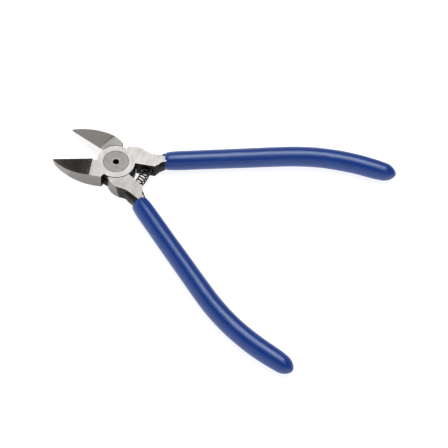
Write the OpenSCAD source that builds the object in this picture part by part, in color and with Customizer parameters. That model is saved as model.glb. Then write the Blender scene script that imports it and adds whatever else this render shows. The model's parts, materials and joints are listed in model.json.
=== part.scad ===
// Flush cut pliers: two lap-jointed forged halves on one large flush rivet, with a coil
// return spring between the necks and a dipped soft grip on each handle.
// Millimetres. The origin is on the pivot axis, in the plane of the head's ground underside.
// +X runs from the pivot towards the handles, midway between them. +Z points out of the
// ground flush side. The front half turns about Z, and the rear half stays.

/* [Head] */
// Thickness of the head between its ground underside and its ground top face
head_t = 9.6; // [9.2:0.1:10.2]
// Radius of the front half's round joint disc
disc_r = 10.2; // [9.8:0.1:10.4]
// Gap between the front half's disc and the curved shoulder around it
shoulder_gap = 0.4; // [0.3:0.05:0.6]
// How much wider the rear half's disc is, which is the lower one
lower_disc_extra = 0.55; // [0.3:0.05:0.6]
// Gap around that lower disc
lower_gap = 0.15; // [0.1:0.05:0.3]
// Gap between the two lapped faces of the joint
lap_gap = 0.1; // [0.04:0.02:0.2]

/* [Jaws] */
// Distance from the pivot to the tips
jaw_reach = 34.6; // [32:0.2:36]
// Distance from the pivot to the crease where the flush faces begin
crease_x = 12.6; // [12:0.1:14]
// How far the flush faces have dropped below the top face at the tips
tip_drop = 6.5; // [5:0.1:7]
// Radius of the curved back of each jaw
jaw_back_r = 36; // [35.6:0.1:36.4]
// How far the curved back flares outwards from its top to its foot
back_flare = 0.4; // [0.1:0.05:0.6]
// Angle of the cutting bevel on the underside, measured from upright
bevel_angle = 33; // [25:1:38]
// Half width of the gap left between the cutting edges when the jaws are shut
edge_land = 0.03; // [0.02:0.01:0.1]
// How far the line where the edges meet lies from the pivot's centre, on the front jaw's side
edge_offset = 0.4; // [0:0.05:0.5]
// Depth of the relief between the edges and the joint disc
throat_relief = 0.6; // [0.4:0.1:1]
// Chamfer along the lower edge of each jaw's back
back_chamfer = 0.5; // [0.3:0.1:0.8]

/* [Opening] */
// Angle between the halves as stored, counted from jaws shut
rest_opening = 35.7; // [20:0.1:40]

/* [Rivet] */
// Radius of the rivet's flush head
rivet_head_r = 6.95; // [6.5:0.05:7.2]
// Thickness of the flush head
rivet_head_t = 2.6; // [2.2:0.1:3]
// Radius of the rivet's shank
rivet_shank_r = 4; // [3.5:0.1:4.4]
// Radius of the headed tail, set into the underside
rivet_tail_r = 5.6; // [5.2:0.1:6]
// Thickness of the headed tail
rivet_tail_t = 2; // [1.6:0.1:2.4]
// Radial running clearance of the front half on the rivet
running_gap = 0.05; // [0.02:0.01:0.09]
// Radius of the blind hole in the middle of the flush head
rivet_hole_r = 1.55; // [1.2:0.05:1.8]
// Depth of that blind hole
rivet_hole_depth = 3.2; // [2:0.2:4]

/* [Neck and handle bar] */
// Half of the gap between the two inner neck walls when shut
neck_wall_y = 0.7; // [0.6:0.05:1]
// Half the width of the forged shank where it enters the grip
shank_r = 4; // [3.9:0.02:4.04]
// Width of the flat tang inside the grip
tang_w = 6.4; // [5.6:0.1:6.4]
// Thickness of the flat tang
tang_t = 5.2; // [4.4:0.1:5.2]
// Height of the bar's centre above the underside
bar_z = 5.5; // [5.4:0.05:5.6]

/* [Grips] */
// Outer radius of the grip at its front edge
grip_r_front = 5.2; // [5:0.05:5.3]
// Outer radius of the grip along its rear half
grip_r_rear = 5.5; // [5.3:0.05:5.5]
// Length of the domed end
grip_dome = 7.6; // [6:0.2:9]
// Length of the rounded front lip
grip_lip = 5; // [4:0.5:7]

/* [Spring] */
// Mean radius of the spring's coils
coil_r = 2.4; // [2.1:0.05:2.45]
// Radius of the spring wire
wire_r = 0.4; // [0.3:0.05:0.45]
// Number of turns
coil_turns = 10; // [7:1:11]
// Radius of the blind sockets that hold the spring's ends
socket_r = 3.3; // [3.2:0.05:3.4]
// Depth of those sockets, from the inner neck wall
socket_depth = 4.6; // [4:0.1:5]

/* [Hidden] */

steel = [0.78, 0.78, 0.76];
black = [0.15, 0.15, 0.16];
blue = [0.13, 0.25, 0.6];

$fn = 96;
e = 0.5;

half_opening = rest_opening / 2;
lap_z = head_t / 2;
pocket_r = disc_r + shoulder_gap;
lower_disc_r = disc_r + lower_disc_extra;
lower_pocket_r = lower_disc_r + lower_gap;
flush_slope = atan(tip_drop / (jaw_reach - crease_x));
jaw_rear_angle = 241;

// Closed frame of one half: the jaw lies on -X with y <= 0 and the handle on +X with y >= 0.
jaw_back_centre = [-9, jaw_back_r - 11.2];
jaw_foot_r = jaw_back_r + back_flare;
socket_x = 17;

// The handle's centre line: a straight, then two tangent bends.
path_start = [26.5, 7.9];
path_angle = 13.2;
straight_run = 64;
bend_1_r = 118;
bend_1_turn = 24;
bend_2_r = 68;
bend_2_turn = 4.4;
bend_1_run = bend_1_r * bend_1_turn * PI / 180;
bend_2_run = bend_2_r * bend_2_turn * PI / 180;
path_run = straight_run + bend_1_run + bend_2_run;
tang_short = 2;
end_narrowing = 0.25;
dome_point = 1.25;

// Points along an arc of a circle
function arc(centre, r, from, to, steps) =
    [for (i = [0 : steps]) centre + r * [cos(from + (to - from) * i / steps),
                                         sin(from + (to - from) * i / steps)]];

// Faces of a closed tube whose rings, 0 to last, have that many sides each
function tube_faces(last, sides) = concat(
    [[for (w = [0 : sides - 1]) w]],
    [for (i = [0 : last - 1]) for (w = [0 : sides - 1])
        [i * sides + w, (i + 1) * sides + w,
         (i + 1) * sides + (w + 1) % sides, i * sides + (w + 1) % sides]],
    [[for (w = [sides - 1 : -1 : 0]) last * sides + w]]
);

// Outline of the ground neck: rounded shoulder, hollow waist, then the inner wall with the
// step where the spring's recess ends. The last side lies along the grip's front edge.
function neck_outline() = concat(
    [[6.5, 2.6], [3.05, 7.2]],
    arc([8.9, 1.2], 10.2, 114.8, 58.4, 10),
    arc([19.64, 18.66], 10.3, 238.4, 273, 7),
    [[26.45, 8.1], [27.05, 5.5]],
    arc([25.9, 1.5], 3, 90, 165, 6),
    arc([20.9, neck_wall_y + 0.7], 0.7, 0, -90, 4),
    [[8, neck_wall_y]]
);

// Outline of the jaw without its curved back, which a large cylinder cuts. edge_y is where
// the cutting edge lies.
function jaw_outline(edge_y) = [
    [-jaw_reach, edge_y],
    [-crease_x, edge_y],
    [-crease_x, edge_y - throat_relief],
    [-6, edge_y - throat_relief],
    7.2 * heading(jaw_rear_angle),
    14 * heading(jaw_rear_angle),
    [-jaw_reach, -14]
];

// Unit vector at an angle
function heading(angle) = [cos(angle), sin(angle)];

// Direction of the handle's centre line at distance s along it
function path_heading(s) =
    s < straight_run ? path_angle
    : s < straight_run + bend_1_run ? path_angle - (s - straight_run) / bend_1_r * 180 / PI
    : path_angle - bend_1_turn
        + min(s - straight_run - bend_1_run, bend_2_run) / bend_2_r * 180 / PI;

bend_1_start = path_start + straight_run * heading(path_angle);
bend_1_centre = bend_1_start - bend_1_r * heading(path_angle + 90);
bend_2_start = bend_1_centre + bend_1_r * heading(path_angle - bend_1_turn + 90);
bend_2_centre = bend_2_start + bend_2_r * heading(path_angle - bend_1_turn + 90);
path_end = bend_2_centre - bend_2_r * heading(path_heading(path_run) + 90);

// Point of the handle's centre line at distance s along it
function path_point(s) =
    s < straight_run ? path_start + s * heading(path_angle)
    : s < straight_run + bend_1_run ? bend_1_centre + bend_1_r * heading(path_heading(s) + 90)
    : s < path_run ? bend_2_centre - bend_2_r * heading(path_heading(s) + 90)
    : path_end + (s - path_run) * heading(path_heading(path_run));

// Where the tang's outline takes its points
tang_stops = concat(
    [-2, straight_run],
    [for (i = [1 : 6]) straight_run + bend_1_run * i / 6],
    [for (i = [1 : 4]) path_run - tang_short - (bend_2_run - tang_short) * (4 - i) / 4]
);

// Flat forged tang inside the grip; grow widens it on every side
module tang(grow) {
    half_w = tang_w / 2 + grow;
    translate([0, 0, bar_z - tang_t / 2 - grow])
        linear_extrude(tang_t + 2 * grow)
            polygon(concat(
                [for (s = tang_stops) path_point(s) + half_w * heading(path_heading(s) + 90)],
                [path_point(path_run - tang_short + 1.2 + grow)],
                [for (i = [len(tang_stops) - 1 : -1 : 0])
                    let (s = tang_stops[i])
                    path_point(s) - half_w * heading(path_heading(s) + 90)]
            ));
}

// The ground neck, cut away below where the forged shank leaves it
module neck() {
    difference() {
        linear_extrude(head_t) polygon(neck_outline());
        translate([21.5, -5, 0])
            rotate([0, -35, 0])
                translate([0, 0, -12]) cube([14, 24, 12]);
    }
}

// The forged shank between the neck and the grip. Each station is the centre of a section,
// its heading, half its width, its lowest and highest point, and how square it is.
shank_stations = [
    [13.5, 5.4, 0, 3, 2, 7.2, 4],
    [16.6, 5.3, 2, 4.1, 1.2, 7.6, 5],
    [20.3, 5.5, 6, 4.55, 0.9, 7.9, 5],
    [23.6, 6.3, 11, 4.05, 1, 8.6, 3.4],
    [path_start[0], path_start[1], path_angle, shank_r, bar_z - shank_r, bar_z + shank_r, 2.5]
];
shank_steps = 4;
shank_sides = 28;

// Station at place t along the shank, on a smooth curve through the stations
function shank_station(t) =
    let (last = len(shank_stations) - 1,
         i = min(floor(t), last - 1),
         u = t - i,
         before = shank_stations[max(i - 1, 0)],
         from = shank_stations[i],
         to = shank_stations[i + 1],
         after = shank_stations[min(i + 2, last)])
    from + u / 2 * ((to - before) + u * ((2 * before - 5 * from + 4 * to - after)
        + u * (3 * (from - to) + after - before)));

// Side point w of a section whose squareness is n: a circle at 2, nearly a square at 5
function section_side(w, n) =
    let (c = cos(360 * w / shank_sides), s = sin(360 * w / shank_sides))
    [sign(c) * pow(abs(c), 2 / n), sign(s) * pow(abs(s), 2 / n)];

// Point w of the shank's section at place t
function shank_point(t, w) =
    let (at = shank_station(t),
         side = section_side(w, at[6]),
         flat = [at[0], at[1]] + side[0] * at[3] * heading(at[2] + 90))
    [flat[0], flat[1], (at[4] + at[5]) / 2 + side[1] * (at[5] - at[4]) / 2];

module shank() {
    last = (len(shank_stations) - 1) * shank_steps;
    polyhedron(
        points = [for (i = [0 : last]) for (w = [0 : shank_sides - 1])
            shank_point(i / shank_steps, w)],
        faces = tube_faces(last, shank_sides)
    );
}

// Jaw with its sloping flush face, cutting bevel and curved back
module jaw(edge_y) {
    difference() {
        intersection() {
            linear_extrude(head_t) polygon(jaw_outline(edge_y));
            translate([jaw_back_centre[0], jaw_back_centre[1], 0])
                cylinder(h = head_t, r1 = jaw_foot_r, r2 = jaw_back_r, $fn = 360);
        }
        // flush face, ground down towards the tip
        translate([-crease_x, 0, head_t])
            rotate([0, -flush_slope, 0])
                translate([-50, -20, 0]) cube([50, 40, 12]);
        // cutting bevel, which leaves the edge in the flush face
        translate([-crease_x, 0, head_t])
            rotate([0, -flush_slope, 0])
                translate([-40, 0, 0])
                    rotate([90, 0, 90])
                        linear_extrude(40 + crease_x - lower_pocket_r - 0.2)
                            polygon([[2, -0.15], [edge_y, -0.15],
                                     [edge_y - 30 * tan(bevel_angle), -30.15], [2, -30.15]]);
        // chamfer along the foot of the curved back
        translate([jaw_back_centre[0], jaw_back_centre[1], -e])
            difference() {
                cylinder(h = back_chamfer + e, r = jaw_foot_r + 2, $fn = 360);
                cylinder(h = back_chamfer + e, r1 = jaw_foot_r - back_chamfer - e,
                         r2 = jaw_foot_r, $fn = 360);
            }
    }
}

// Everything of one half outside its joint disc, before the joint and the socket are cut
module half_body(edge_y) {
    jaw(edge_y);
    neck();
    shank();
    tang(0);
}

// Blind socket for one end of the return spring
module spring_socket() {
    translate([socket_x, neck_wall_y - 2, lap_z])
        rotate([-90, 0, 0])
            cylinder(h = socket_depth + 2, r = socket_r);
}

// Front half in its closed frame: upper layer of the lap joint
module front_half() {
    difference() {
        union() {
            difference() {
                half_body(-edge_offset - edge_land);
                translate([0, 0, -e]) cylinder(h = lap_z + lap_gap / 2 + e, r = lower_pocket_r);
            }
            translate([0, 0, lap_z + lap_gap / 2])
                cylinder(h = head_t - lap_z - lap_gap / 2, r = disc_r);
        }
        translate([0, 0, lap_z - e])
            cylinder(h = lap_z + 2 * e, r = rivet_shank_r + running_gap);
        translate([0, 0, head_t - rivet_head_t - 0.05])
            cylinder(h = rivet_head_t + e, r = rivet_head_r + running_gap);
        spring_socket();
    }
}

// Rear half in its closed frame: lower layer of the lap joint
module rear_half() {
    difference() {
        union() {
            difference() {
                mirror([0, 1, 0]) half_body(edge_offset - edge_land);
                translate([0, 0, lap_z - lap_gap / 2])
                    cylinder(h = head_t - lap_z + lap_gap / 2 + e, r = pocket_r);
            }
            cylinder(h = lap_z - lap_gap / 2, r = lower_disc_r);
        }
        translate([0, 0, -e]) cylinder(h = lap_z + 2 * e, r = rivet_shank_r + 0.01);
        translate([0, 0, -e]) cylinder(h = rivet_tail_t + e, r = rivet_tail_r + 0.01);
        mirror([0, 1, 0]) spring_socket();
    }
}

// Outer radius of the grip at distance s along it: it swells, then narrows near the end
function grip_r(s) = grip_r_front + (grip_r_rear - grip_r_front) * min(s / 80, 1)
    - end_narrowing * pow(max(0, s - path_run + 14) / 14, 2);

// Distance along the grip and radius there: rounded lip, long body, slightly pointed end
grip_rings = concat(
    [[0, grip_r_front - 0.7], [0.1 * grip_lip, grip_r_front - 0.35],
     [0.4 * grip_lip, grip_r_front - 0.15], [grip_lip, grip_r(grip_lip)]],
    [for (s = [15 : 15 : 60]) [s, grip_r(s)]],
    [for (i = [0 : 8]) let (s = straight_run + bend_1_run * i / 8) [s, grip_r(s)]],
    [for (i = [1 : 3]) let (s = path_run - bend_2_run * (3 - i) / 3) [s, grip_r(s)]],
    [for (a = [15, 30, 45, 60, 72, 83])
        [path_run + grip_dome * sin(a), grip_r(path_run) * pow(cos(a), dome_point)]]
);
grip_sides = 28;

// Dipped sleeve over the tang, closed round the end
module grip_sleeve() {
    last = len(grip_rings) - 1;
    difference() {
        polyhedron(
            points = [for (ring = grip_rings) for (w = [0 : grip_sides - 1])
                let (side = ring[1] * heading(360 * w / grip_sides),
                     at = path_point(ring[0]) + side[0] * heading(path_heading(ring[0]) + 90))
                [at[0], at[1], bar_z + side[1]]],
            faces = tube_faces(last, grip_sides)
        );
        tang(0.01);
    }
}

module front_lever() {
    color(steel) rotate([0, 0, half_opening]) front_half();
}

module rear_lever() {
    color(steel) rotate([0, 0, -half_opening]) rear_half();
}

module front_grip() {
    color(blue) rotate([0, 0, half_opening]) grip_sleeve();
}

module rear_grip() {
    color(blue) rotate([0, 0, -half_opening]) mirror([0, 1, 0]) grip_sleeve();
}

// Flush head, shank and headed tail, with the blind hole in the head
module pivot_rivet() {
    color(steel) difference() {
        union() {
            cylinder(h = rivet_tail_t, r = rivet_tail_r);
            cylinder(h = head_t - rivet_head_t + e, r = rivet_shank_r);
            translate([0, 0, head_t - rivet_head_t])
                cylinder(h = rivet_head_t - 0.15, r = rivet_head_r);
            translate([0, 0, head_t - 0.15])
                cylinder(h = 0.15, r1 = rivet_head_r, r2 = rivet_head_r - 0.15);
        }
        translate([0, 0, head_t - rivet_hole_depth])
            cylinder(h = rivet_hole_depth + e, r = rivet_hole_r);
        translate([0, 0, head_t - 0.4])
            cylinder(h = 0.4 + e, r1 = rivet_hole_r, r2 = rivet_hole_r + 0.4 + e);
    }
}

// The spring's centre line is an arc through both sockets, square to each socket floor.
seat_y = neck_wall_y + socket_depth - 0.1;
seat_mid = [socket_x * cos(half_opening) - seat_y * sin(half_opening),
            socket_x * sin(half_opening) + seat_y * cos(half_opening)];
spring_arc_r = seat_mid[1] / sin(half_opening);
spring_arc_x = seat_mid[0] - spring_arc_r * cos(half_opening);
wire_inset = asin((wire_r + 0.05) / spring_arc_r);
rings_per_turn = 18;
wire_sides = 8;

// A point of the coil at turn t, where side w goes around the wire's own section
function coil_point(t, w) =
    let (along = -half_opening + wire_inset
             + 2 * (half_opening - wire_inset) * t / coil_turns,
         turn = 360 * t,
         out = coil_r + wire_r * cos(360 * w / wire_sides),
         flat_r = spring_arc_r + out * cos(turn))
    [spring_arc_x + flat_r * cos(along) - wire_r * sin(360 * w / wire_sides) * sin(along),
     flat_r * sin(along) + wire_r * sin(360 * w / wire_sides) * cos(along),
     lap_z + out * sin(turn)];

module return_spring() {
    rings = coil_turns * rings_per_turn;
    color(black) polyhedron(
        points = [for (i = [0 : rings]) for (w = [0 : wire_sides - 1])
            coil_point(i / rings_per_turn, w)],
        faces = tube_faces(rings, wire_sides)
    );
}

front_lever();
rear_lever();
pivot_rivet();
return_spring();
front_grip();
rear_grip();
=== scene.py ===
"""Looks of the flush cut pliers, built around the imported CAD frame.

Everything is in metres, in the CAD's own frame: the pivot axis is Z, the handles point
along +X, and the ground flush side of the head faces +Z. The "closed frame" of a half is
its own frame with the jaws shut, where the rear half is the mirror image of the front one.
"""

import json
import math

import bmesh
import bpy
import numpy as np
from mathutils import Matrix, Vector, noise


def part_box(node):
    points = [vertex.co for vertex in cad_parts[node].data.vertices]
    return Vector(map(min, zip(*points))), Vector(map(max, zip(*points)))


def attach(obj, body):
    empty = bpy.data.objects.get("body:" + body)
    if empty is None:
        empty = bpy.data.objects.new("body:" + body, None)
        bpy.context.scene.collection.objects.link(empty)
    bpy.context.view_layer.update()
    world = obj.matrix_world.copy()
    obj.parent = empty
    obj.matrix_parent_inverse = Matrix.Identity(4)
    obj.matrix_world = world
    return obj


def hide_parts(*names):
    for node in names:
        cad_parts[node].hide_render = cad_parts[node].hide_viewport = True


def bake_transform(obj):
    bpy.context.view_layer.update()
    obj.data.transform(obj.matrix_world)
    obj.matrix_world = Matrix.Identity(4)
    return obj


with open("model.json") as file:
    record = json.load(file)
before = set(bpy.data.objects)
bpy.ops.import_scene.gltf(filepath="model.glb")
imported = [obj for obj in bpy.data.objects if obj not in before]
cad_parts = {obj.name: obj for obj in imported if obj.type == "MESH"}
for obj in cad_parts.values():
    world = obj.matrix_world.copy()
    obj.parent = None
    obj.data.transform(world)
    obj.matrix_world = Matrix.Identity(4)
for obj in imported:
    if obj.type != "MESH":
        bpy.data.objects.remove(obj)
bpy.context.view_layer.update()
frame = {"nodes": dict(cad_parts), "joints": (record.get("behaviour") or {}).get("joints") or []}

MM = 0.001
HEAD_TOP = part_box("front_lever")[1].z
HEAD_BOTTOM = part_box("rear_lever")[0].z
# the hinge's closing limit leaves the cutting edges this far from shut
SHUT_SPARE = math.radians(0.1)
HALF_OPENING = (SHUT_SPARE - math.radians(frame["joints"][0]["range_deg"][0])) / 2
FRONT, REAR = 1, -1
BODY = {FRONT: "front_half", REAR: "rear_half"}
SIDE_NAME = {FRONT: "front", REAR: "rear"}


def closed(point, side):
    """A point or direction of one half in that half's closed frame."""
    turned = Matrix.Rotation(-side * HALF_OPENING, 3, "Z") @ point
    return Vector((turned.x, side * turned.y, turned.z))


# ------------------------------------------------------------------ mesh helpers
def new_object(name, mesh):
    """An object that shows the mesh."""
    thing = bpy.data.objects.new(name, mesh)
    bpy.context.scene.collection.objects.link(thing)
    return thing


def mesh_of(name, bm):
    """The finished mesh of a bmesh, which is freed."""
    mesh = bpy.data.meshes.new(name)
    bm.to_mesh(mesh)
    bm.free()
    return mesh


def remember_closed_frame(mesh, side):
    """Keeps each point's place in the closed frame, which the steel's grain is laid along."""
    places = mesh.attributes.new("closed_frame", "FLOAT_VECTOR", "POINT")
    for spot, vertex in zip(places.data, mesh.vertices):
        spot.vector = closed(vertex.co, side)


def rings_mesh(name, rings):
    """A smooth closed mesh through rings of points, all with the same number of points."""
    bm = bmesh.new()
    rows = [[bm.verts.new(p) for p in ring] for ring in rings]
    count = len(rows[0])
    for low, high in zip(rows, rows[1:]):
        for k in range(count):
            m = (k + 1) % count
            bm.faces.new((low[k], low[m], high[m], high[k]))
    bm.faces.new(list(reversed(rows[0])))
    bm.faces.new(rows[-1])
    bmesh.ops.recalc_face_normals(bm, faces=bm.faces)
    for face in bm.faces:
        face.smooth = True
    return mesh_of(name, bm)


# ------------------------------------------------------------------ material helpers
class Nodes:
    """A material's node tree with short calls for the nodes used here."""

    def __init__(self, name):
        self.material = bpy.data.materials.new(name)
        self.material.use_nodes = True
        self.tree = self.material.node_tree
        self.shader = self.tree.nodes["Principled BSDF"]

    def add(self, kind, **settings):
        node = self.tree.nodes.new(kind)
        for key, value in settings.items():
            setattr(node, key, value)
        return node

    def link(self, source, target):
        self.tree.links.new(source, target)

    def put(self, socket, value):
        """Gives an input a plain value or a link."""
        if isinstance(value, bpy.types.NodeSocket):
            self.link(value, socket)
        else:
            socket.default_value = value

    def place(self, attribute=None):
        """Coordinates in metres: the object's own, or a stored attribute's."""
        if attribute:
            return self.add("ShaderNodeAttribute", attribute_name=attribute).outputs["Vector"]
        return self.add("ShaderNodeTexCoord").outputs["Object"]

    def scaled(self, vector, scale):
        """The vector times a scale for each axis, so a small scale draws a pattern out."""
        node = self.add("ShaderNodeVectorMath", operation="MULTIPLY")
        self.put(node.inputs[0], vector)
        self.put(node.inputs[1], scale)
        return node.outputs["Vector"]

    def noise(self, vector, scale, detail=3.0, roughness=0.55):
        node = self.add("ShaderNodeTexNoise")
        self.put(node.inputs["Vector"], vector)
        node.inputs["Scale"].default_value = scale
        node.inputs["Detail"].default_value = detail
        node.inputs["Roughness"].default_value = roughness
        return node.outputs["Fac"]

    def remap(self, value, low, high, to_low=0.0, to_high=1.0):
        node = self.add("ShaderNodeMapRange")
        self.put(node.inputs["Value"], value)
        for key, number in (("From Min", low), ("From Max", high),
                            ("To Min", to_low), ("To Max", to_high)):
            node.inputs[key].default_value = number
        return node.outputs["Result"]

    def maths(self, operation, first, second):
        node = self.add("ShaderNodeMath", operation=operation)
        self.put(node.inputs[0], first)
        self.put(node.inputs[1], second)
        return node.outputs["Value"]

    def mix_colour(self, share, first, second):
        node = self.add("ShaderNodeMix", data_type="RGBA")
        self.put(node.inputs[0], share)
        self.put(node.inputs[6], first)
        self.put(node.inputs[7], second)
        return node.outputs[2]

    def mix_value(self, share, first, second):
        node = self.add("ShaderNodeMix", data_type="FLOAT")
        self.put(node.inputs[0], share)
        self.put(node.inputs[2], first)
        self.put(node.inputs[3], second)
        return node.outputs[0]

    def bump(self, height, distance, strength=1.0, normal=None):
        node = self.add("ShaderNodeBump")
        self.put(node.inputs["Height"], height)
        node.inputs["Distance"].default_value = distance
        node.inputs["Strength"].default_value = strength
        if normal is not None:
            self.link(normal, node.inputs["Normal"])
        return node.outputs["Normal"]

    def finish(self, colour, roughness, metallic, normal=None):
        self.put(self.shader.inputs["Base Color"], colour)
        self.put(self.shader.inputs["Roughness"], roughness)
        self.put(self.shader.inputs["Metallic"], metallic)
        if normal is not None:
            self.link(normal, self.shader.inputs["Normal"])
        return self.material


def grey(value, warmth=0.0):
    """A grey, a little warmer or cooler than neutral."""
    return (value * (1 + warmth), value, value * (1 - warmth), 1.0)


def ground_steel(name, tone, roughness, grain, depth=0.003 * MM, mottle=0.1, warmth=0.02):
    """Ground steel with fine scratches. grain scales the closed frame, small along them."""
    n = Nodes(name)
    place = n.place("closed_frame")
    scratches = n.noise(n.scaled(place, grain), 1.0, detail=4.0, roughness=0.7)
    streaks = n.noise(n.scaled(place, tuple(g * 0.16 for g in grain)), 1.0, detail=2.0)
    clouds = n.noise(place, 260.0, detail=3.0)
    light, dark = grey(tone * (1 + mottle), warmth), grey(tone * (1 - mottle), warmth * 2)
    colour = n.mix_colour(n.remap(clouds, 0.3, 0.7), light, dark)
    colour = n.mix_colour(n.remap(streaks, 0.35, 0.75, 0.0, 2 * mottle), colour,
                          grey(tone * 0.72, warmth))
    rough = n.remap(scratches, 0.3, 0.7, roughness * 0.9, roughness * 1.13)
    return n.finish(colour, rough, 1.0, n.bump(scratches, depth, 0.8))


def forged_black(name, shoulder=False, recess=False):
    """Black oxide on forged steel: ground bright near the head on the shoulder, and with painted
    shade in the recesses, made blacker and less shiny there."""
    n = Nodes(name)
    place = n.place("closed_frame")
    grain = n.noise(place, 1900.0, detail=5.0, roughness=0.65)
    lumps = n.noise(place, 420.0, detail=3.0)
    # painted shade on top of the black oxide: recess faces are darkened to about a third and
    # reflect less
    depth = 0.35 if recess else 1.0
    colour = n.mix_colour(n.remap(lumps, 0.35, 0.7), grey(0.010 * depth), grey(0.018 * depth, 0.06))
    colour = n.mix_colour(n.remap(grain, 0.62, 0.8, 0.0, 0.6), colour, grey(0.045 * depth, 0.1))
    rough = n.remap(grain, 0.3, 0.7, 0.42, 0.6)
    n.shader.inputs["Specular IOR Level"].default_value = 0.12 if recess else 0.2
    metal = 0.0
    if shoulder:
        split = n.add("ShaderNodeSeparateXYZ")
        n.put(split.inputs[0], place)
        # the wheel's mark ends along a line that leans towards the grip at its foot
        lean = n.maths("MULTIPLY", split.outputs["Z"], 0.18)
        reach = n.maths("ADD", split.outputs["X"], lean)
        wobble = n.maths("MULTIPLY", n.noise(place, 500.0), 0.8 * MM)
        mark = n.remap(n.maths("ADD", reach, wobble), 13.7 * MM, 13.4 * MM)
        colour = n.mix_colour(mark, colour, grey(0.225, 0.03))
        rough = n.mix_value(mark, rough, 0.42)
        metal = mark
    normal = n.bump(lumps, 0.05 * MM, 0.5)
    return n.finish(colour, rough, metal, n.bump(grain, 0.018 * MM, 0.7, normal))


def rivet_steel():
    """Turned steel: rings round the axis, and a brown tint in places."""
    n = Nodes("rivet_turned")
    place = n.place()
    radius = n.add("ShaderNodeVectorMath", operation="LENGTH")
    n.put(radius.inputs[0], n.scaled(place, (1.0, 1.0, 0.0)))
    along = n.add("ShaderNodeCombineXYZ")
    n.put(along.inputs[0], radius.outputs["Value"])
    rings = n.noise(along.outputs[0], 5200.0, detail=3.0, roughness=0.7)
    bands = n.noise(along.outputs[0], 900.0, detail=2.0)
    clouds = n.noise(place, 330.0, detail=3.0)
    colour = n.mix_colour(n.remap(clouds, 0.35, 0.68), grey(0.26, 0.02), grey(0.22, 0.06))
    colour = n.mix_colour(n.remap(bands, 0.4, 0.75, 0.0, 0.35), colour, grey(0.17, 0.03))
    # the countersink round the hole is painted bright, a painted highlight, and the hole is painted
    # dark, painted shade; both only on the flush side
    split = n.add("ShaderNodeSeparateXYZ")
    n.put(split.inputs[0], place)
    flush_side = n.remap(split.outputs["Z"], 5.0 * MM, 5.2 * MM)
    countersink = (2.2 * MM, 0.05 * MM, 0.5)
    hole = (1.63 * MM, 0.03 * MM, 0.02)
    for edge_r, soft, tone in (countersink, hole):
        inside = n.remap(radius.outputs["Value"], edge_r + soft, edge_r - soft)
        colour = n.mix_colour(n.maths("MULTIPLY", inside, flush_side), colour, grey(tone))
    rough = n.remap(rings, 0.3, 0.7, 0.46, 0.6)
    return n.finish(colour, rough, 1.0, n.bump(rings, 0.006 * MM, 0.8))


def spring_black():
    """Black spring wire with a thin film of oil."""
    n = Nodes("spring_black")
    place = n.place()
    specks = n.noise(place, 2600.0, detail=3.0)
    colour = n.mix_colour(n.remap(specks, 0.55, 0.8), grey(0.015), grey(0.06, 0.1))
    rough = n.remap(specks, 0.3, 0.7, 0.22, 0.36)
    return n.finish(colour, rough, 0.35, n.bump(specks, 0.006 * MM, 0.6))


def dipped_plastic():
    """Glossy dipped soft plastic: slow ripples, and a fine skin that softens highlights."""
    n = Nodes("grip_dipped_blue")
    place = n.place()
    ripples = n.noise(place, 90.0, detail=2.0)
    skin = n.noise(place, 900.0, detail=2.0)
    clouds = n.noise(place, 45.0, detail=2.0)
    colour = n.mix_colour(n.remap(clouds, 0.3, 0.7), (0.005, 0.036, 0.220, 1.0),
                          (0.006, 0.041, 0.245, 1.0))
    rough = n.remap(skin, 0.3, 0.7, 0.285, 0.305)
    n.shader.inputs["IOR"].default_value = 1.58
    n.shader.inputs["Specular Tint"].default_value = (0.78, 0.9, 1.0, 1.0)
    normal = n.bump(ripples, 0.35 * MM, 0.35)
    return n.finish(colour, rough, 0.0, n.bump(skin, 0.0006 * MM, 0.5, normal))


# ------------------------------------------------------------------ the two forged levers
GROUND, FLUSH, JAW_BACK, TIP_BACK_LIT, FORGED, EDGE, SHOULDER, RECESS_SHADE, JAW_ROOT = range(9)
# noise scales along X, Y and Z of the closed frame: scratches run along the smallest
ACROSS = (700.0, 160.0, 700.0)
UPRIGHT = (900.0, 900.0, 160.0)
# the two halves are given a slightly different brightness; on the flush faces the difference is
# painted light and shade, standing in for how each half's flush face catches the light
GROUND_TONE = {FRONT: 0.55, REAR: 0.455}
FLUSH_TONE_WITH_PAINTED_LIGHT = {FRONT: 0.36, REAR: 0.31}
SHARED_MATERIALS = [
    ground_steel("steel_jaw_backs", 0.235, 0.46, UPRIGHT, mottle=0.07, warmth=0.04),
    # the tip backs are a lighter copy of the jaw-back steel: painted light for the facet at the
    # tip, which faces the brighter side
    ground_steel("steel_tip_backs_painted_light", 0.30, 0.42, UPRIGHT, mottle=0.07, warmth=0.04),
    forged_black("steel_forged_black"),
    ground_steel("steel_worn_edges", 0.5, 0.36, UPRIGHT),
    forged_black("steel_shoulder", shoulder=True),
    forged_black("steel_recess_painted_shade", recess=True),
    # the jaw roots' top faces get a darker copy of the ground steel: painted shade
    ground_steel("steel_jaw_root_shaded", 0.37, 0.62, ACROSS, mottle=0.035, warmth=0.03),
]
EDGE_BEVEL = 0.13 * MM
FORGED_BEVEL = 0.28 * MM
# angles between faces, in degrees: where an edge is eased, and where shading breaks
EASED_FROM, EASED_TO = 24, 112
FORGED_EASED_FROM = 42
SHADING_BREAK = 38
# places in the closed frame, in mm, as the CAD has them
TIP_CREASE = -23.2
FLUSH_ROOT = -11
JAW_ROOT_END = -6
JAW_BACK_END = -4
SOCKET_FROM, SOCKET_TO = 12, 22
NECK_FROM = 8
NECK_INNER_TOP = 6
SHOULDER_END = 16
SHOULDER_FROM_Y = 4
GRIP_FRONT = 26.5
BEVEL_SHORT_OF_GRIP = 0.7
LOWER_POCKET_R = 10.9
JAW_REAR_ANGLE = math.radians(241)
JAW_REAR_NORMAL = Vector((-math.sin(JAW_REAR_ANGLE), math.cos(JAW_REAR_ANGLE), 0))


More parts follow.
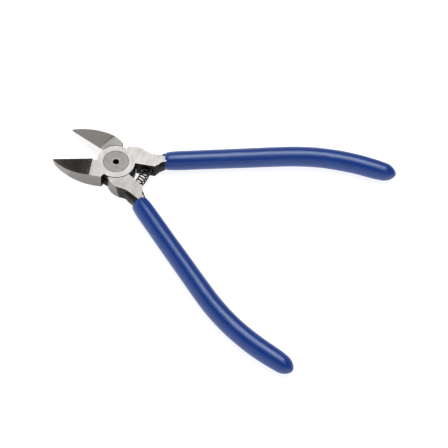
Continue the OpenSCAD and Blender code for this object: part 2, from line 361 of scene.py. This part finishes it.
def lever_region(centre, normal, lap_z):
    """Which finish a face of a lever has, from its place and direction in the closed frame."""
    x, y, z = (c / MM for c in centre)
    if x < FLUSH_ROOT and normal.z > 0.9:
        return FLUSH
    level = abs(normal.z) > 0.95
    outside = centre.z > HEAD_TOP - 0.02 * MM or centre.z < HEAD_BOTTOM + 0.02 * MM
    if level and outside:
        # top faces at the jaw root take the darker copy, painted shade
        return JAW_ROOT if x < JAW_ROOT_END and normal.z > 0 else GROUND
    lap_face = level and abs(centre.z - lap_z) < 0.2 * MM
    joint_wall = math.hypot(x, y) < LOWER_POCKET_R + 0.1
    rear_wall = normal.dot(JAW_REAR_NORMAL) > 0.9
    inner = y < NECK_INNER_TOP
    neck_inner_wall = inner and NECK_FROM < x < SOCKET_TO and normal.y < -0.5
    socket_wall = inner and SOCKET_FROM < x < SOCKET_TO and abs(normal.z) < 0.9 and z > 1
    # faces in the lap, round the joint, on the jaw's rear wall, the neck's inner wall and the
    # sockets get painted shade
    if lap_face or joint_wall or rear_wall or neck_inner_wall or socket_wall:
        return RECESS_SHADE
    if x < JAW_BACK_END and y < 1:
        if abs(normal.z) > 0.5 and z < 1:
            return FORGED
        # past the crease the jaw back takes the lighter copy, painted light
        return TIP_BACK_LIT if x < TIP_CREASE else JAW_BACK
    if x < SHOULDER_END and y > SHOULDER_FROM_Y and abs(normal.z) < 0.3:
        return SHOULDER
    return FORGED


def forged_lever(side):
    """One lever from its CAD solid, with every edge eased and each region given its finish."""
    node = SIDE_NAME[side] + "_lever"
    bm = bmesh.new()
    bm.from_mesh(frame["nodes"][node].data)
    bmesh.ops.remove_doubles(bm, verts=bm.verts, dist=0.002 * MM)
    bmesh.ops.dissolve_limit(bm, angle_limit=math.radians(0.3), verts=bm.verts, edges=bm.edges)
    bmesh.ops.dissolve_degenerate(bm, dist=0.06 * MM, edges=bm.edges)
    lap_z = (HEAD_TOP + HEAD_BOTTOM) / 2
    for face in bm.faces:
        face.material_index = lever_region(closed(face.calc_center_median(), side),
                                           closed(face.normal, side), lap_z)

    def is_dark(edge):
        return all(face.material_index in (FORGED, SHOULDER, RECESS_SHADE) for face in edge.link_faces)

    def sharp_edges(least, dark):
        """Edges to ease: those of bright faces or those between dark ones, clear of the grip."""
        clear_x = (GRIP_FRONT - BEVEL_SHORT_OF_GRIP) * MM
        return [e for e in bm.edges
                if e.is_manifold and least < math.degrees(e.calc_face_angle(0)) < EASED_TO
                and max(closed(v.co, side).x for v in e.verts) <= clear_x
                and is_dark(e) == dark]

    bmesh.ops.bevel(bm, geom=sharp_edges(EASED_FROM, False), offset=EDGE_BEVEL,
                    offset_type="OFFSET", segments=2, profile=0.7, affect="EDGES",
                    clamp_overlap=True, loop_slide=True, material=EDGE)
    bmesh.ops.bevel(bm, geom=sharp_edges(FORGED_EASED_FROM, True), offset=FORGED_BEVEL,
                    offset_type="OFFSET", segments=3, profile=0.5, affect="EDGES",
                    clamp_overlap=True, loop_slide=True, material=FORGED)
    for face in bm.faces:
        face.smooth = True
    for edge in bm.edges:
        breaks = edge.is_manifold and math.degrees(edge.calc_face_angle(0)) > SHADING_BREAK
        edge.smooth = not breaks
    mesh = mesh_of(node + "_steel", bm)
    faces = ground_steel("steel_ground_" + SIDE_NAME[side], GROUND_TONE[side], 0.62, ACROSS,
                         mottle=0.035, warmth=0.02)
    # each half's flush tone holds painted light and shade
    flush = ground_steel("steel_flush_" + SIDE_NAME[side], FLUSH_TONE_WITH_PAINTED_LIGHT[side], 0.16, ACROSS,
                         0.0005 * MM, mottle=0.045, warmth=0.05)
    for material in [faces, flush, *SHARED_MATERIALS]:
        mesh.materials.append(material)
    remember_closed_frame(mesh, side)
    lever = new_object(node + "_steel", mesh)
    even = lever.modifiers.new("even_normals", "WEIGHTED_NORMAL")
    even.keep_sharp = True
    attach(lever, BODY[side])
    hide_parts(node)


# ------------------------------------------------------------------ the rivet
def pivot_rivet():
    """The flush rivet, turned about the pivot axis, with its blind hole and a stake mark."""
    head_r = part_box("pivot_rivet")[1].x
    top = HEAD_TOP
    low = HEAD_BOTTOM
    hole_r, hole_depth, ease = 1.55 * MM, 3.2 * MM, 0.42 * MM
    shank_r, tail_r = 4.0 * MM, 5.6 * MM
    head_t, tail_t = 2.6 * MM, 2.0 * MM
    # rings across the flush face, so that the stake mark has points to dent
    face_rings = [(head_r - 0.2 * MM - k * (head_r - 2.4 * MM) / 24, top) for k in range(1, 24)]
    profile = [
        (0.4 * MM, low + 0.06 * MM), (1.2 * MM, low + 0.03 * MM), (4.6 * MM, low),
        (tail_r - 0.3 * MM, low), (tail_r - 0.08 * MM, low + 0.07 * MM), (tail_r, low + 0.3 * MM),
        (tail_r, low + tail_t), (shank_r, low + tail_t), (shank_r, top - head_t),
        (head_r - 0.2 * MM, top - head_t), (head_r, top - head_t + 0.2 * MM),
        (head_r, top - 0.24 * MM), (head_r - 0.04 * MM, top - 0.1 * MM),
        (head_r - 0.11 * MM, top - 0.03 * MM), (head_r - 0.2 * MM, top), *face_rings,
        (hole_r + ease + 0.1 * MM, top), (hole_r + ease, top - 0.03 * MM),
        (hole_r + 0.06 * MM, top - ease), (hole_r, top - ease - 0.08 * MM),
        (hole_r, top - hole_depth + 0.1 * MM), (hole_r - 0.1 * MM, top - hole_depth),
        (0.1 * MM, top - hole_depth - 0.05 * MM),
    ]
    segments = 160
    mark_angle, mark_r = math.radians(100), head_r - 0.5 * MM
    rings = []
    for r, z in profile:
        ring = []
        for k in range(segments):
            a = 2 * math.pi * k / segments
            turn = math.atan2(math.sin(a - mark_angle), math.cos(a - mark_angle)) * head_r
            away = (turn / (0.75 * MM)) ** 2 + ((r - mark_r) / (0.28 * MM)) ** 2
            dent = 0.22 * MM * math.exp(-away) if z > top - 0.3 * MM else 0.0
            ring.append(Vector((r * math.cos(a), r * math.sin(a), z - dent)))
        rings.append(ring)
    mesh = rings_mesh("pivot_rivet_steel", rings)
    mesh.materials.append(rivet_steel())
    rivet = new_object("pivot_rivet_steel", mesh)
    even = rivet.modifiers.new("even_normals", "WEIGHTED_NORMAL")
    even.keep_sharp = True
    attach(rivet, "rear_half")
    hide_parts("pivot_rivet")


# ------------------------------------------------------------------ the return spring
def return_spring():
    """The coil spring along its arc between the two sockets, with closed end turns."""
    low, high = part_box("return_spring")
    wire_r = 0.4 * MM
    outer = (high.z - low.z) / 2
    coil_r = outer - wire_r
    height = (high.z + low.z) / 2
    arc_r = high.y / math.sin(HALF_OPENING) - outer
    arc_x = high.x - outer - arc_r
    turns, per_turn, sides = 10, 40, 12
    # crowding closes the turns up at both ends, and middle_share is its share at mid-length
    crowding, middle_share = 0.032, 0.35
    reach = HALF_OPENING - math.asin((wire_r + 0.05 * MM) / arc_r)
    rings = []
    for i in range(turns * per_turn + 1):
        t = i / (turns * per_turn)
        turn = 2 * math.pi * turns * t
        share = 1 if abs(t - 0.5) > 0.25 else middle_share
        eased = t - crowding * math.sin(4 * math.pi * t) * share
        along = reach * (2 * eased - 1)
        ring = []
        for w in range(sides):
            a = 2 * math.pi * w / sides
            out = coil_r + wire_r * math.cos(a)
            flat = arc_r + out * math.cos(turn)
            ring.append(Vector((
                arc_x + flat * math.cos(along) - wire_r * math.sin(a) * math.sin(along),
                flat * math.sin(along) + wire_r * math.sin(a) * math.cos(along),
                height + out * math.sin(turn))))
        rings.append(ring)
    mesh = rings_mesh("return_spring_wire", rings)
    mesh.materials.append(spring_black())
    spring = new_object("return_spring_wire", mesh)
    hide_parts("return_spring")
    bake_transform(spring)


# ------------------------------------------------------------------ the dipped grips
class Sleeve:
    """The centre line and radius of a CAD grip, read from slices across its mesh."""

    def __init__(self, node):
        mesh = frame["nodes"][node].data
        self.points = np.array([v.co for v in mesh.vertices])
        self.edges = np.array([e.vertices for e in mesh.edges])
        low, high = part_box(node)
        self.height = (low.z + high.z) / 2
        along_x = np.array([1.0, 0, 0])
        first, second = (self.slice_at(np.array([low.x + x, 0, self.height]), along_x)[0]
                         for x in (12 * MM, 22 * MM))
        heading = (second - first) / np.linalg.norm(second - first)
        ahead = (self.points - first) @ heading
        near = np.linalg.norm(self.points - first, axis=1) < 30 * MM
        self.stations = self.march(first + heading * ahead[near].min(), heading)

    def slice_at(self, point, heading):
        """Centre and radius of the section through point, square to heading."""
        ahead = (self.points - point) @ heading
        a, b = ahead[self.edges[:, 0]], ahead[self.edges[:, 1]]
        cut = (a < 0) != (b < 0)
        if not cut.any():
            return None, 0.0
        share = (a[cut] / (a[cut] - b[cut]))[:, None]
        start, end = self.points[self.edges[cut, 0]], self.points[self.edges[cut, 1]]
        hits = start + share * (end - start)
        across = np.array([-heading[1], heading[0], 0.0])
        offsets = (hits - point) @ across
        middle = (offsets.min() + offsets.max()) / 2
        centre = point + middle * across
        centre[2] = self.height
        return centre, (hits[:, 2].max() - hits[:, 2].min()) / 2

    def march(self, front, heading):
        """Stations (centre, radius) a step apart, from the front edge to near the end."""
        step, least_r = 1.5 * MM, 4.2 * MM
        found = [(front, 0.0)]
        while True:
            guess = found[-1][0] + heading * step
            centre, radius = self.slice_at(guess, heading)
            if centre is None or radius < least_r and len(found) > 20:
                break
            found.append((centre, radius))
            if len(found) > 3:
                heading = found[-1][0] - found[-4][0]
                heading = heading / np.linalg.norm(heading)
        return found


def smooth_run(values, reach):
    """Running average over reach neighbours on both sides, with the ends kept."""
    values = np.array(values, float)
    padded = np.concatenate([2 * values[:1] - values[reach:0:-1], values,
                             2 * values[-1:] - values[-2:-reach - 2:-1]])
    return np.array([padded[i:i + 2 * reach + 1].mean(0) for i in range(len(values))])


def dipped_grip(side, material):
    """The closed sleeve: a rounded slanting lip, a long swelling body and a pointed dome."""
    node = SIDE_NAME[side] + "_grip"
    sleeve = Sleeve(node)
    centres = smooth_run([c for c, _ in sleeve.stations], 3)
    steps = np.linalg.norm(np.diff(centres, axis=0), axis=1)
    length = np.concatenate([[0], np.cumsum(steps)])
    radii = smooth_run([r for _, r in sleeve.stations[4:]], 3)
    body_from = length[4]
    end_heading = (centres[-1] - centres[-4]) / np.linalg.norm(centres[-1] - centres[-4])
    tip = ((sleeve.points - centres[-1]) @ end_heading).max() + length[-1]

    def at(s):
        """Centre and sideways direction at distance s along the sleeve."""
        reach = 2.5 * MM
        spots = []
        for q in (s - reach, s, s + reach):
            inside = min(max(q, 0), length[-1])
            spot = np.array([np.interp(inside, length, centres[:, k]) for k in range(3)])
            way = (centres[3] - centres[0]) / length[3] if q < 0 else end_heading
            spots.append(spot + way * (q - inside))
        way = spots[2] - spots[0]
        way = way / np.linalg.norm(way)
        return spots[1], np.array([-way[1], way[0], 0.0])

    def body_r(s):
        return float(np.interp(s, length[4:], radii))

    sides, dome, dome_point = 56, 7.6 * MM, 1.25
    front_r = body_r(body_from)
    # distance from the front edge and change of radius, both in mm
    lip = [(0.9, -1.6), (0.25, -1.45), (0.03, -1.28), (0.0, -1.1), (0.12, -0.86), (0.4, -0.64),
           (0.9, -0.44), (1.8, -0.27), (3.2, -0.13), (5.0, -0.03)]
    rows = [(s * MM, front_r + r * MM) for s, r in lip]
    dome_from = tip - dome
    rows += [(s, body_r(s)) for s in np.arange(body_from, dome_from, 1.5 * MM)]
    end_r = body_r(dome_from)
    for k in range(15):
        a = math.radians(6 * k)
        rows.append((dome_from + dome * math.sin(a), end_r * math.cos(a) ** dome_point))
    rings = []
    for s, r in rows:
        centre, sideways = at(s)
        forward = np.array([sideways[1], -sideways[0], 0.0])
        fade = max(0.0, 1 - s / (9 * MM)) ** 1.5
        around = Vector((s / (9 * MM), 0, side * 5))
        ring = []
        for k in range(sides):
            a = 2 * math.pi * k / sides
            spot = around + Vector((0, 1.6 * math.cos(a), 1.6 * math.sin(a)))
            ripple = noise.noise(spot)
            grown = r + 0.07 * MM * ripple
            # the lip reaches farther towards the head on the inner side
            early = fade * (1.05 - 0.55 * side * math.cos(a)) * MM
            ring.append(Vector(centre + sideways * grown * math.cos(a) - forward * early
                               + np.array([0, 0, grown * math.sin(a)])))
        rings.append(ring)
    mesh = rings_mesh(node + "_sleeve", rings)
    mesh.materials.append(material)
    grip = new_object(node + "_sleeve", mesh)
    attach(grip, BODY[side])
    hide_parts(node)


for half in (FRONT, REAR):
    forged_lever(half)
pivot_rivet()
return_spring()
blue = dipped_plastic()
for half in (FRONT, REAR):
    dipped_grip(half, blue)


# ------------------------------------------------------------------ stage, lights, camera
def floor():
    """A plain pale table that glows a little, so that it stays pale round the object."""
    bm = bmesh.new()
    bmesh.ops.create_grid(bm, x_segments=1, y_segments=1, size=4)
    bmesh.ops.translate(bm, verts=bm.verts, vec=(0, 0, -0.05 * MM))
    table = new_object("floor", mesh_of("floor", bm))
    n = Nodes("floor_pale")
    n.shader.inputs["Emission Color"].default_value = (1, 1, 1, 1)
    n.shader.inputs["Emission Strength"].default_value = 0.85
    table.data.materials.append(n.finish(grey(0.45), 0.9, 0.0))


def studio_world():
    """A pale sweep that fades out between about 20 and 45 degrees up, and is dimmer far right."""
    world = bpy.data.worlds.new("studio")
    bpy.context.scene.world = world
    world.use_nodes = True
    nodes, links = world.node_tree.nodes, world.node_tree.links
    towards = nodes.new("ShaderNodeTexCoord").outputs["Generated"]
    split = nodes.new("ShaderNodeSeparateXYZ")
    links.new(towards, split.inputs[0])
    height = nodes.new("ShaderNodeMapRange")
    height.interpolation_type = "SMOOTHSTEP"
    far = nodes.new("ShaderNodeVectorMath")
    far.operation = "DOT_PRODUCT"
    far.inputs[1].default_value = (0.6, 0.8, 0.0)
    links.new(towards, far.inputs[0])
    dim = nodes.new("ShaderNodeMapRange")
    dim.interpolation_type = "SMOOTHSTEP"
    product = nodes.new("ShaderNodeMath")
    product.operation = "MULTIPLY"
    for node, source, numbers in ((height, split.outputs["Z"], (0.34, 0.70, 0.95, 0.04)),
                                  (dim, far.outputs["Value"], (0.2, 0.7, 1.0, 0.25))):
        links.new(source, node.inputs["Value"])
        for key, number in zip(("From Min", "From Max", "To Min", "To Max"), numbers):
            node.inputs[key].default_value = number
    links.new(height.outputs["Result"], product.inputs[0])
    links.new(dim.outputs["Result"], product.inputs[1])
    links.new(product.outputs["Value"], nodes["Background"].inputs["Strength"])
    nodes["Background"].inputs["Color"].default_value = (1, 1, 1, 1)


def softbox(name, towards, distance, size, radiance):
    """A square area light that faces the middle of the tool. radiance is how bright it looks."""
    lamp = bpy.data.lights.new(name, "AREA")
    lamp.size = size
    lamp.energy = radiance * math.pi * size * size
    thing = bpy.data.objects.new(name, lamp)
    bpy.context.scene.collection.objects.link(thing)
    centre = Vector((50, 0, 5)) * MM
    direction = Vector(towards).normalized()
    thing.location = centre + direction * distance
    thing.rotation_mode = "QUATERNION"
    thing.rotation_quaternion = direction.to_track_quat("Z", "Y")


def camera():
    """The main view, from in front and above and a little to one side, slightly rolled."""
    data = bpy.data.cameras.new("camera")
    data.sensor_width = 36
    data.lens = 120.54
    data.clip_start = 0.01
    view = bpy.data.objects.new("camera", data)
    bpy.context.scene.collection.objects.link(view)
    bpy.context.scene.camera = view
    elevation, roll, yaw = (math.radians(a) for a in (58.15, -5.91, -21.26))
    target = Vector((67.726, -5.230, 4.8)) * MM
    distance = 794.97 * MM
    back = Vector((-math.sin(yaw) * math.cos(elevation), -math.cos(yaw) * math.cos(elevation),
                   math.sin(elevation)))
    level = Vector((math.cos(yaw), -math.sin(yaw), 0))
    upright = back.cross(level)
    right = level * math.cos(roll) - upright * math.sin(roll)
    up = level * math.sin(roll) + upright * math.cos(roll)
    view.location = target + back * distance
    view.rotation_mode = "QUATERNION"
    view.rotation_quaternion = Matrix((right, up, back)).transposed().to_quaternion()


KEY_DIRECTION = (-0.06, 0.28, 0.958)
floor()
studio_world()
softbox("key_softbox", KEY_DIRECTION, 1.2, 0.95, 3.2)
softbox("key_core", KEY_DIRECTION, 1.15, 0.5, 3.6)
softbox("fill_softbox", (0.42, -0.15, 0.9), 1.2, 0.45, 0.9)
camera()
bpy.context.scene.view_settings.view_transform = "Standard"
